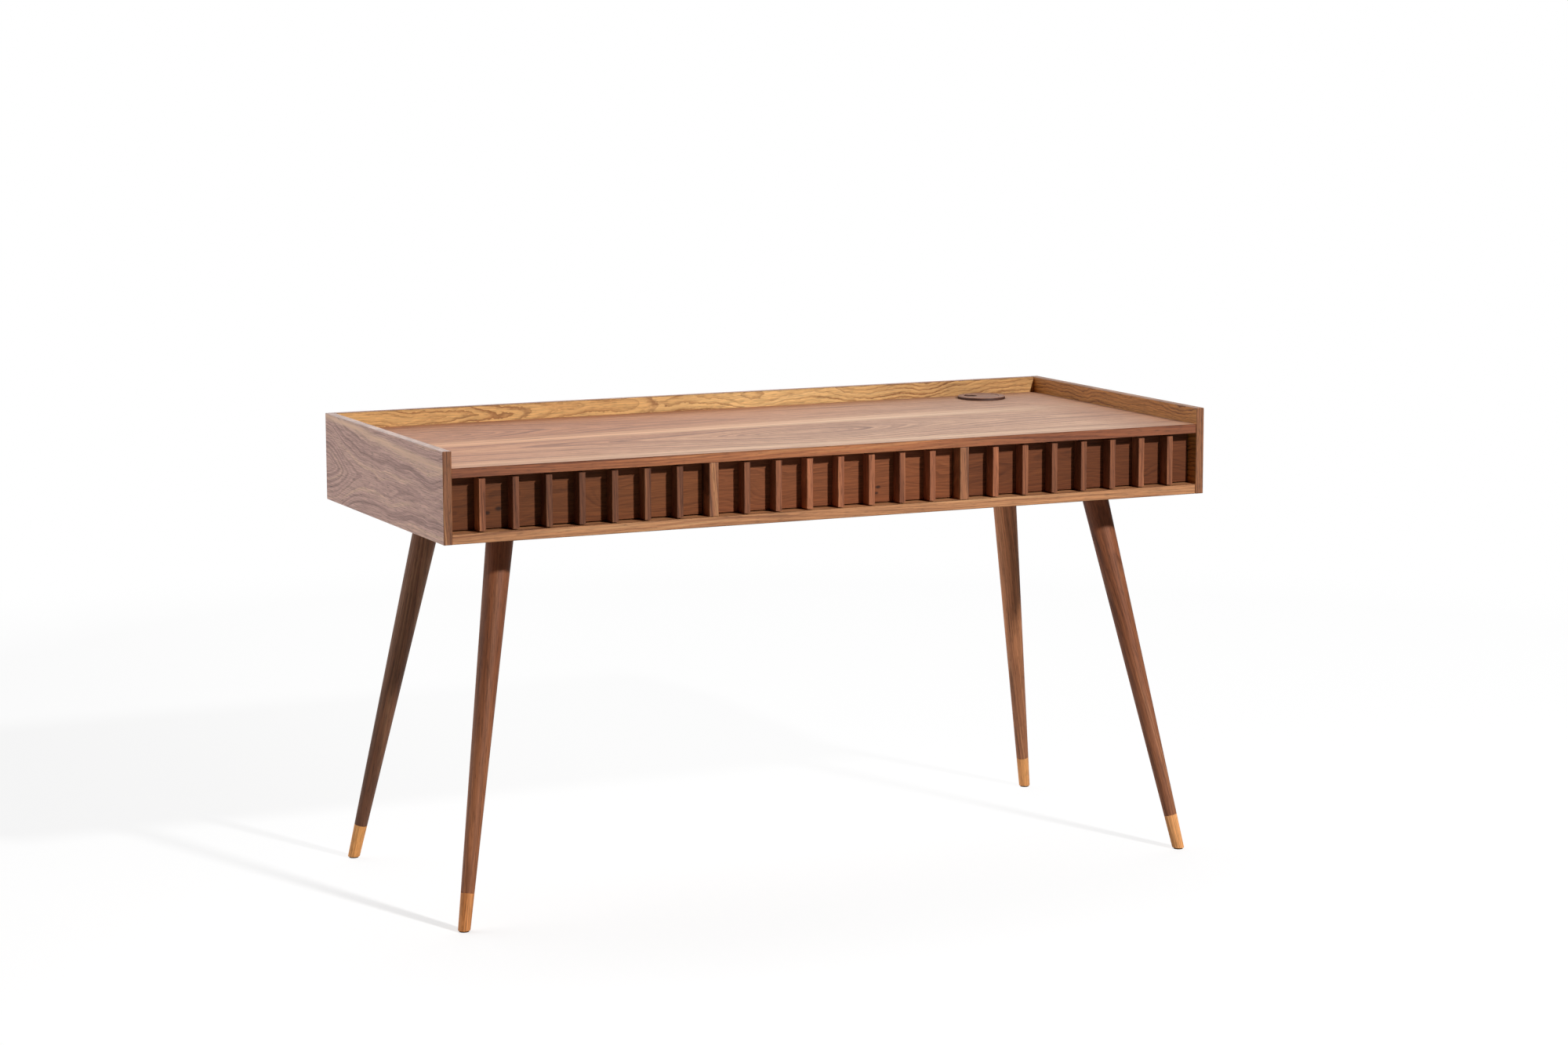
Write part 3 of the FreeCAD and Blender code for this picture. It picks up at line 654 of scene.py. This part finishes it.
for number, (corner, (sign_x, sign_y)) in enumerate(corners.items()):
    foot = Vector((sign_x * (leg_top_x + leg_run), sign_y * (leg_top_y + leg_run), 0))
    head = Vector((sign_x * leg_top_x, sign_y * leg_top_y, underside))
    lean = Vector((0, 0, 1)).rotation_difference(head - foot)
    place = Matrix.Translation(foot) @ lean.to_matrix().to_4x4()
    heart_turn = math.radians(first_heart_turn + heart_turn_step * number)
    heart = Vector((log_gap * number, heart_offset * math.cos(heart_turn),
                    heart_offset * math.sin(heart_turn)))
    leg_material = turned_material(corner + "_walnut", foot_tints_and_painted_light[corner], head_tints_and_painted_light[corner], leg_tones,
                                   year_width=0.0045, sway=0.03, figure=0.5, streak=0.5)
    tip_material = turned_material(corner + "_oak", tip_tints_and_painted_light[corner], tip_tints_and_painted_light[corner], tip_tones,
                                   year_width=0.004, sway=0.02, figure=0.5, streak=0.5, jagged=0.5)

    stem_outline = [(0, tip_length), (joint_radius - joint_round, tip_length),
                    (joint_radius, tip_length + joint_round)]
    stem_outline += quarter_round(leg_top_radius - leg_top_round, leg_end - leg_top_round, leg_top_round, 0)
    stem_outline += [(0, leg_end)]
    stem = placed_mesh(corner + "_turned_leg", turned(stem_outline, leg_sides), place, leg_material)
    note_log_place(stem, place, heart, grain_runout)
    new_piece(corner + "_turned_leg", stem, "carcass", "walnut_solid", corner + "_leg")

    tip_outline = [(0, -foot_radius), (foot_radius, -foot_radius), (foot_radius, 0),
                   (joint_radius, tip_length - joint_round), (joint_radius - joint_round, tip_length),
                   (0, tip_length)]
    shape = turned(tip_outline, leg_sides)
    shape.transform(place)
    everything = list(shape.verts) + list(shape.edges) + list(shape.faces)
    sawn = bmesh.ops.bisect_plane(shape, geom=everything, plane_co=(0, 0, floor_gap), plane_no=(0, 0, 1),
                                  clear_inner=True)
    level = [item for item in sawn["geom_cut"] if isinstance(item, bmesh.types.BMEdge)]
    sole = bmesh.ops.edgeloop_fill(shape, edges=level)["faces"]
    bmesh.ops.recalc_face_normals(shape, faces=shape.faces)
    bmesh.ops.bevel(shape, geom=list(sole[0].edges), offset=tip_round, segments=3, profile=0.5,
                    affect="EDGES")
    tip = placed_mesh(corner + "_turned_tip", shape, Matrix.Identity(4), tip_material)
    note_log_place(tip, place, heart + tip_log_shift)
    new_piece(corner + "_turned_tip", tip, "carcass", "oak", corner + "_leg_tip")

material, tree = new_material("felt_glides")
fuzz = cloud(tree, object_place(tree), (900.0, 900.0, 900.0))["Fac"]
oil_finish(tree, {"Colour": mix(tree, fuzz, colour(30, 27, 24), colour(66, 60, 54)),
                  "Gloss": ramp(tree, fuzz, 0, 1, 0.8, 1), "Height": fuzz})
dress(["foot_glides"], material)


# Leg plates: a zinc-plated steel plate above each leg with an angled boss for the leg's bolt, held up to
# the carcass by four cross-head screws.

def new_grower(name, inputs):
    tree = bpy.data.node_groups.new(name, "GeometryNodeTree")
    for title, kind in inputs:
        tree.interface.new_socket(title, in_out="INPUT", socket_type=kind)
    tree.interface.new_socket("Geometry", in_out="OUTPUT", socket_type="NodeSocketGeometry")
    return tree, tree.nodes.new("NodeGroupInput").outputs, tree.nodes.new("NodeGroupOutput").inputs


# Ends a tree: the instances are made real, take flat faces and get their finish.
def settle(tree, standing, finish, out):
    real = add_node(tree, "GeometryNodeRealizeInstances", {"Geometry": standing})
    flat = add_node(tree, "GeometryNodeSetShadeSmooth", {"Geometry": real.outputs[0], "Shade Smooth": False})
    dressed = add_node(tree, "GeometryNodeSetMaterial", {"Geometry": flat.outputs[0], "Material": finish})
    tree.links.new(dressed.outputs[0], out["Geometry"])


def grow(tree, name, values, seats=()):
    seed_mesh = bpy.data.meshes.new(name + "_seed")
    seed_mesh.from_pydata([place for place, out_way in seats], [], [])
    layer = seed_mesh.attributes.new("out_way", "FLOAT_VECTOR", "POINT")
    for entry, (place, out_way) in zip(layer.data, seats):
        entry.vector = out_way
    seed = bpy.data.objects.new(name + "_seed", seed_mesh)
    bpy.context.scene.collection.objects.link(seed)
    modifier = seed.modifiers.new("grow", "NODES")
    modifier.node_group = tree
    for item in tree.interface.items_tree:
        if item.in_out == "INPUT" and item.name in values:
            modifier[item.identifier] = values[item.name]
    view = bpy.context.evaluated_depsgraph_get()
    mesh = bpy.data.meshes.new_from_object(seed.evaluated_get(view), preserve_all_data_layers=True,
                                           depsgraph=view)
    mesh.name = name
    bpy.data.objects.remove(seed)
    return mesh


# One screw at every point: a low coned head with a cross recess, and its shank behind it.
head_sides = 24
shank_sides = 12
head_taper = 0.78
arm_length_share = 0.56
arm_width_share = 0.14
arm_rise_share = 0.9


def build_screws():
    tree, given, out = new_grower("screws", [
        ("Geometry", "NodeSocketGeometry"), ("Head Width", "NodeSocketFloat"),
        ("Head Height", "NodeSocketFloat"), ("Shank Width", "NodeSocketFloat"),
        ("Shank Length", "NodeSocketFloat"), ("Finish", "NodeSocketMaterial")])
    head_radius = calc(tree, "DIVIDE", given["Head Width"], 2.0)
    head = add_node(tree, "GeometryNodeMeshCone",
                    {"Vertices": head_sides, "Radius Bottom": head_radius, "Depth": given["Head Height"],
                     "Radius Top": calc(tree, "MULTIPLY", head_radius, head_taper)})
    recess = add_node(tree, "GeometryNodeMeshBoolean", {"Mesh 1": head.outputs["Mesh"]},
                      operation="DIFFERENCE", solver="EXACT")
    arm_length = calc(tree, "MULTIPLY", given["Head Width"], arm_length_share)
    arm_width = calc(tree, "MULTIPLY", given["Head Width"], arm_width_share)
    arm_rise = span(tree, z=calc(tree, "MULTIPLY", given["Head Height"], arm_rise_share))
    for length, width in ((arm_length, arm_width), (arm_width, arm_length)):
        arm_size = span(tree, length, width, given["Head Height"])
        arm = add_node(tree, "GeometryNodeMeshCube", {"Size": arm_size})
        raised = add_node(tree, "GeometryNodeTransform", {"Geometry": arm.outputs["Mesh"],
                                                          "Translation": arm_rise})
        tree.links.new(raised.outputs[0], recess.inputs["Mesh 2"])
    shank = add_node(tree, "GeometryNodeMeshCylinder",
                     {"Vertices": shank_sides, "Radius": calc(tree, "DIVIDE", given["Shank Width"], 2.0),
                      "Depth": given["Shank Length"]})
    behind = span(tree, z=calc(tree, "DIVIDE", given["Shank Length"], -2.0))
    sunk = add_node(tree, "GeometryNodeTransform", {"Geometry": shank.outputs["Mesh"], "Translation": behind})
    screw = add_node(tree, "GeometryNodeJoinGeometry")
    tree.links.new(recess.outputs["Mesh"], screw.inputs[0])
    tree.links.new(sunk.outputs[0], screw.inputs[0])
    out_way = add_node(tree, "GeometryNodeInputNamedAttribute", {"Name": "out_way"}, data_type="FLOAT_VECTOR")
    turn = add_node(tree, "FunctionNodeAlignRotationToVector", {"Vector": out_way.outputs["Attribute"]},
                    axis="Z")
    driven = add_node(tree, "GeometryNodeInstanceOnPoints",
                      {"Points": given["Geometry"], "Instance": screw.outputs[0],
                       "Rotation": turn.outputs[0]})
    settle(tree, driven.outputs[0], given["Finish"], out)
    return tree


zinc, tree = new_material("zinc_steel")
spangle = cloud(tree, object_place(tree), (300.0, 40.0, 300.0))["Fac"]
show(tree, add_node(tree, "ShaderNodeBsdfPrincipled",
                    {"Base Color": mix(tree, spangle, colour(150, 154, 160), colour(200, 204, 208)),
                     "Metallic": 1.0, "Roughness": ramp(tree, spangle, 0.3, 0.7, 0.28, 0.42)}))
dress(["leg_plates", "leg_bolts"], zinc)

plate_thickness = 0.0025
plate_screw_offset = 0.024
screws = build_screws()
seats = []
for sign_x, sign_y in corners.values():
    for x, y in corners.values():
        seat = (sign_x * leg_top_x + x * plate_screw_offset, sign_y * leg_top_y + y * plate_screw_offset,
                underside - plate_thickness)
        seats.append((seat, (0, 0, -1)))
plate_screws = grow(screws, "leg_plate_cross_screws",
                    {"Head Width": 0.008, "Head Height": 0.0022, "Shank Width": 0.004, "Shank Length": 0.0145,
                     "Finish": zinc}, seats)
new_piece("leg_plate_cross_screws", plate_screws, "carcass", "plated_steel", "leg_plate_screws")


# Drawer fronts: boards set back behind the carcass edges, with thin gaps all round. They are faced with dark
# walnut veneer whose grain lies level and swirls round a few small knots, and fixed to the drawer boxes.
drawers = ("left_drawer", "middle_drawer", "right_drawer")
front_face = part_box("left_drawer_front")[0][1]
front_tones = (colour(112, 62, 35), colour(74, 39, 21), colour(136, 80, 46))
# Each front's tint changes from its left end to its right end, partly in the veneer's own tone and partly as
# painted light and shade.
front_tints_and_painted_light = {"left_drawer": ((0.85, 0.9, 0.78, 1), (1.24, 1.38, 1.38, 1)),
               "middle_drawer": ((1.43, 1.6, 1.84, 1), (1.47, 1.62, 1.88, 1)),
               "right_drawer": ((0.95, 0.97, 1.0, 1), (0.83, 0.84, 0.84, 1))}
front_shine = 0.25
knot_tone = colour(30, 16, 9)
knot_stretch = (0.6, 0.0, 1.0)
pin_knots = ((-0.617, 0.679, 0.0022), (-0.5975, 0.685, 0.0026), (0.080, 0.6796, 0.002),
             (0.077, 0.6696, 0.0016))
for drawer in drawers:
    material, tree = new_material(drawer + "_walnut_front")
    wood = cut(tree, grain(tree, "X", (-0.2, front_face, 0.70), STANDING), front_tones, year_width=0.008,
               heart_depth=0.01, swell=0.0, sway=0.12, sway_rate=4.0, figure=0.45, streak=0.35, pores=0.12)
    across = split(tree, object_place(tree))["X"]
    left_end, right_end = (corner[0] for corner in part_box(drawer + "_front"))
    tint = mix(tree, ramp(tree, across, left_end, right_end), *front_tints_and_painted_light[drawer])
    wood["Colour"] = mix(tree, 1.0, wood["Colour"], tint, "MULTIPLY")
    for x, z, size in pin_knots:
        away = move(tree, "SUBTRACT", object_place(tree), (x, front_face, z))
        away = move(tree, "MULTIPLY", away, knot_stretch)
        away = measure(tree, "LENGTH", away)
        spot = ramp(tree, away, 2 * size, 0.6 * size, 0.0, 0.8)
        wood["Colour"] = mix(tree, spot, wood["Colour"], knot_tone)
    oil_finish(tree, wood, front_shine)
    eased_board(drawer + "_front", drawer + "_front_board", drawer, "drawer_veneer", material)


# Slats: seven upright bars of solid walnut, evenly spaced and glued by their back edge to each drawer front.
# There is no handle: the slats are the grips. Each was sawn from its own stick, so their tones differ.
slat_count = 7
slat_width = 0.011
slat_arris = 0.0007
slat_shine = 0.3
slat_log_gap = 1.37
row_log_gap = 11.0
# The brightness range of each row is partly the slats' own tone and partly painted light and shade.
slat_brightness_and_painted_light = {"left_drawer": (0.68, 1.38), "middle_drawer": (0.97, 1.92), "right_drawer": (0.99, 1.85)}
slat_seeds = {"left_drawer": 941.5, "middle_drawer": 143.5, "right_drawer": 941.5}
seed_step = 1.375
slat_tones = (colour(135, 83, 57), colour(92, 54, 37), colour(180, 119, 80))


def build_slat_row():
    tree, given, out = new_grower("slat_row", [
        ("Width", "NodeSocketFloat"), ("Depth", "NodeSocketFloat"), ("Height", "NodeSocketFloat"),
        ("Arris", "NodeSocketFloat"), ("Count", "NodeSocketInt"), ("Pitch", "NodeSocketFloat"),
        ("First Slat", "NodeSocketVector"), ("Finish", "NodeSocketMaterial")])
    outline = add_node(tree, "GeometryNodeCurvePrimitiveQuadrilateral",
                       {"Width": given["Width"], "Height": given["Depth"]})
    eased = add_node(tree, "GeometryNodeFilletCurve",
                     {"Curve": outline.outputs[0], "Radius": given["Arris"], "Count": 3}, mode="POLY")
    rise = add_node(tree, "GeometryNodeCurvePrimitiveLine", {"End": span(tree, z=given["Height"])})
    slat = add_node(tree, "GeometryNodeCurveToMesh",
                    {"Curve": rise.outputs[0], "Profile Curve": eased.outputs[0], "Fill Caps": True})
    row = add_node(tree, "GeometryNodeMeshLine",
                   {"Count": given["Count"], "Start Location": given["First Slat"],
                    "Offset": span(tree, x=given["Pitch"])})
    standing = add_node(tree, "GeometryNodeInstanceOnPoints",
                        {"Points": row.outputs[0], "Instance": slat.outputs[0]})
    number = add_node(tree, "GeometryNodeInputIndex").outputs[0]
    numbered = add_node(tree, "GeometryNodeStoreNamedAttribute",
                        {"Geometry": standing.outputs[0], "Name": "slat_number", "Value": number},
                        data_type="FLOAT", domain="INSTANCE")
    settle(tree, numbered.outputs[0], given["Finish"], out)
    return tree


slat_row = build_slat_row()
for index, drawer in enumerate(drawers):
    material, tree = new_material(drawer + "_walnut_slats")
    number = add_node(tree, "ShaderNodeAttribute", attribute_name="slat_number").outputs["Fac"]
    own_log = span(tree, calc(tree, "MULTIPLY_ADD", number, slat_log_gap, row_log_gap * index))
    place = move(tree, "ADD", grain(tree, "Z", (0.0, front_face, 0.7), (0, 0.03, 0)), own_log)
    wood = cut(tree, place, slat_tones, year_width=0.006, sway=0.05, streak=0.7)
    seed = calc(tree, "MULTIPLY_ADD", number, seed_step, slat_seeds[drawer])
    tone = add_node(tree, "ShaderNodeTexWhiteNoise", {"W": seed}, noise_dimensions="1D").outputs["Value"]
    tone = ramp(tree, tone, 0, 1, *slat_brightness_and_painted_light[drawer])
    wood["Colour"] = mix(tree, 1.0, wood["Colour"], tone, "MULTIPLY")
    oil_finish(tree, wood, slat_shine)
    row_low, row_high = (Vector(corner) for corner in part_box(drawer + "_slats"))
    depth = row_high.y - row_low.y
    mesh = grow(slat_row, drawer + "_slat_row",
                {"Width": slat_width, "Depth": depth, "Height": row_high.z - row_low.z, "Arris": slat_arris,
                 "Count": slat_count, "Pitch": (row_high.x - row_low.x - slat_width) / (slat_count - 1),
                 "First Slat": (row_low.x + slat_width / 2, row_low.y + depth / 2, row_low.z),
                 "Finish": material})
    new_piece(drawer + "_slat_row", mesh, drawer, "walnut_solid", drawer + "_slats")


# Drawer boxes: pale oak sides that are housed into the front, with a back and a thin bottom let into their
# grooves. The grain runs along each piece, and the finish is the same oil.
for name, along, parts in (("oak_drawer_sides", "Y", ("_left_side", "_right_side")),
                           ("oak_drawer_backs_and_bottoms", "X", ("_back", "_bottom"))):
    material, tree = new_material(name)
    oil_finish(tree, cut(tree, grain(tree, along, (0.0, -0.06, 0.69)), oak_tones, year_width=0.011,
                         heart_depth=0.02, swell=0.05, swell_length=0.5, sway=0.05, figure=0.4))
    dress([drawer + part for drawer in drawers for part in parts], material)


# Slides: three nested channels of zinc-plated sheet steel on each side of a drawer. The fixed rail is screwed
# to the carcass and the inner rail to the drawer box, with low-headed screws; the middle rail runs between.
rail_parts = ("_left_fixed_rail", "_right_fixed_rail", "_left_inner_rail", "_right_inner_rail",
              "_middle_rails")
dress([drawer + part for drawer in drawers for part in rail_parts], zinc)
rail_sheet = 0.0012
rail_screw_inset = 0.045
rail_screw_sizes = {"Head Width": 0.0068, "Head Height": 0.0009, "Shank Width": 0.0034,
                    "Shank Length": 0.0087, "Finish": zinc}


# Seats on the open face of a rail's web. The web is the side of the channel that lies on the wood.
def rail_seats(rail, web_side):
    low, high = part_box(rail)
    web = low[0] + rail_sheet if web_side < 0 else high[0] - rail_sheet
    return [((web, y, (low[2] + high[2]) / 2), (-web_side, 0, 0))
            for y in (low[1] + rail_screw_inset, high[1] - rail_screw_inset)]


fixed_seats = []
for drawer in drawers:
    fixed_seats += rail_seats(drawer + "_left_fixed_rail", -1) + rail_seats(drawer + "_right_fixed_rail", 1)
    inner_seats = rail_seats(drawer + "_left_inner_rail", 1) + rail_seats(drawer + "_right_inner_rail", -1)
    mesh = grow(screws, drawer + "_rail_cross_screws", rail_screw_sizes, inner_seats)
    new_piece(drawer + "_rail_cross_screws", mesh, drawer, "plated_steel", drawer + "_rail_screws")
mesh = grow(screws, "fixed_rail_cross_screws", rail_screw_sizes, fixed_seats)
new_piece("fixed_rail_cross_screws", mesh, "carcass", "plated_steel", "fixed_rail_screws")


# Floor and light: a pale studio floor without an end, a white surround that is bright behind the desk and
# dim on the side of the camera, and one lamp from the front right.
wall_side = (-0.2, 0.98, 0.0)
floor_half = 30.0
floor_mesh = bpy.data.meshes.new("floor")
floor_mesh.from_pydata([(-floor_half, -floor_half, 0), (floor_half, -floor_half, 0),
                        (floor_half, floor_half, 0), (-floor_half, floor_half, 0)], [], [(0, 1, 2, 3)])
floor = bpy.data.objects.new("floor", floor_mesh)
bpy.context.scene.collection.objects.link(floor)
material, tree = new_material("pale_floor")
path = add_node(tree, "ShaderNodeLightPath").outputs
nearness = measure(tree, "DOT_PRODUCT", object_place(tree), wall_side)
bounce = ramp(tree, nearness, -0.5, 0.5, 0.28, 0.9)
matt_shade = mix(tree, path["Is Camera Ray"], bounce, (1.0, 1.0, 1.0, 1))
matt = add_node(tree, "ShaderNodeBsdfDiffuse", {"Color": matt_shade})
white = add_node(tree, "ShaderNodeEmission", {"Color": (1, 1, 1, 1), "Strength": 1.0})
away = measure(tree, "LENGTH", object_place(tree))
axes = split(tree, object_place(tree))
# The floor's white glow is mixed in thinner at the front left and thicker to the right and far away: painted
# light that lightens the cast shadows unevenly, so they show darkest by the front left foot.
left_veil = ramp(tree, axes["Y"], -0.3, 0.4, 0.5, 0.8)
right_veil = ramp(tree, axes["Y"], -0.3, 0.4, 0.78, 0.93)
veil = ramp(tree, axes["X"], -1.1, 0.2, left_veil, right_veil)
veil = calc(tree, "MAXIMUM", ramp(tree, away, 1.2, 3.5, 0.5, 1.0), veil)
shown = calc(tree, "MAXIMUM", path["Is Camera Ray"], path["Is Transmission Ray"])
mirrored = calc(tree, "MULTIPLY", path["Is Glossy Ray"], ramp(tree, nearness, -0.5, 0.5))
veil = calc(tree, "MULTIPLY", calc(tree, "MAXIMUM", shown, mirrored), veil)
show(tree, add_node(tree, "ShaderNodeMixShader", {0: veil, 1: matt.outputs[0], 2: white.outputs[0]}))
floor_mesh.materials.append(material)

world = bpy.data.worlds.new("studio")
bpy.context.scene.world = world
world.use_nodes = True
tree = world.node_tree
tree.nodes.clear()
path = add_node(tree, "ShaderNodeLightPath").outputs
towards = add_node(tree, "ShaderNodeTexCoord").outputs["Generated"]
behind = ramp(tree, measure(tree, "DOT_PRODUCT", towards, wall_side), -0.15, 0.75)
shown = calc(tree, "MAXIMUM", path["Is Camera Ray"], path["Is Transmission Ray"])
shown = calc(tree, "MAXIMUM", shown, calc(tree, "MULTIPLY", path["Is Glossy Ray"], behind))
fill_strength = ramp(tree, behind, 0, 1, 0.0, 1.85)
fill = add_node(tree, "ShaderNodeBackground", {"Color": (1, 1, 1, 1), "Strength": fill_strength})
white = add_node(tree, "ShaderNodeBackground", {"Color": (1, 1, 1, 1), "Strength": 1.0})
either = add_node(tree, "ShaderNodeMixShader", {0: shown, 1: fill.outputs[0], 2: white.outputs[0]})
show(tree, either, "ShaderNodeOutputWorld")

lamp_place = Vector((1.63, -4.86, 3.66))
lamp_aim = Vector((0.0, 0.0, 0.74))
lamp = bpy.data.lights.new("softbox", "AREA")
lamp.shape = "DISK"
lamp.size = 0.34
lamp.energy = 335.0
lamp_object = bpy.data.objects.new("softbox", lamp)
lamp_turn = (lamp_place - lamp_aim).to_track_quat("Z", "Y").to_matrix().to_4x4()
lamp_object.matrix_world = Matrix.Translation(lamp_place) @ lamp_turn
bpy.context.scene.collection.objects.link(lamp_object)


# Camera: the photograph's own view, from the front left and a little above the desk, with a long lens.
# Its place, turns and lens were fitted to the desk's edges, slats and legs.
camera_place = Vector((-2.60384, -5.67557, 1.49635))
camera_yaw = 0.43497
camera_pitch = 0.14437
camera_roll = -0.00243
camera_data = bpy.data.cameras.new("camera")
camera_data.sensor_width = 36.0
camera_data.lens = 83.249
camera_data.clip_end = 200.0
camera = bpy.data.objects.new("camera", camera_data)
ahead = Vector((math.sin(camera_yaw) * math.cos(camera_pitch), math.cos(camera_yaw) * math.cos(camera_pitch),
                -math.sin(camera_pitch)))
right = ahead.cross(Vector((0, 0, 1))).normalized()
up = right.cross(ahead)
rolled_right = right * math.cos(camera_roll) + up * math.sin(camera_roll)
rolled_up = up * math.cos(camera_roll) - right * math.sin(camera_roll)
turn = Matrix((rolled_right, rolled_up, -ahead)).transposed()
camera.matrix_world = Matrix.Translation(camera_place) @ turn.to_4x4()
bpy.context.scene.collection.objects.link(camera)
bpy.context.scene.camera = camera
bpy.context.scene.view_settings.view_transform = "Standard"
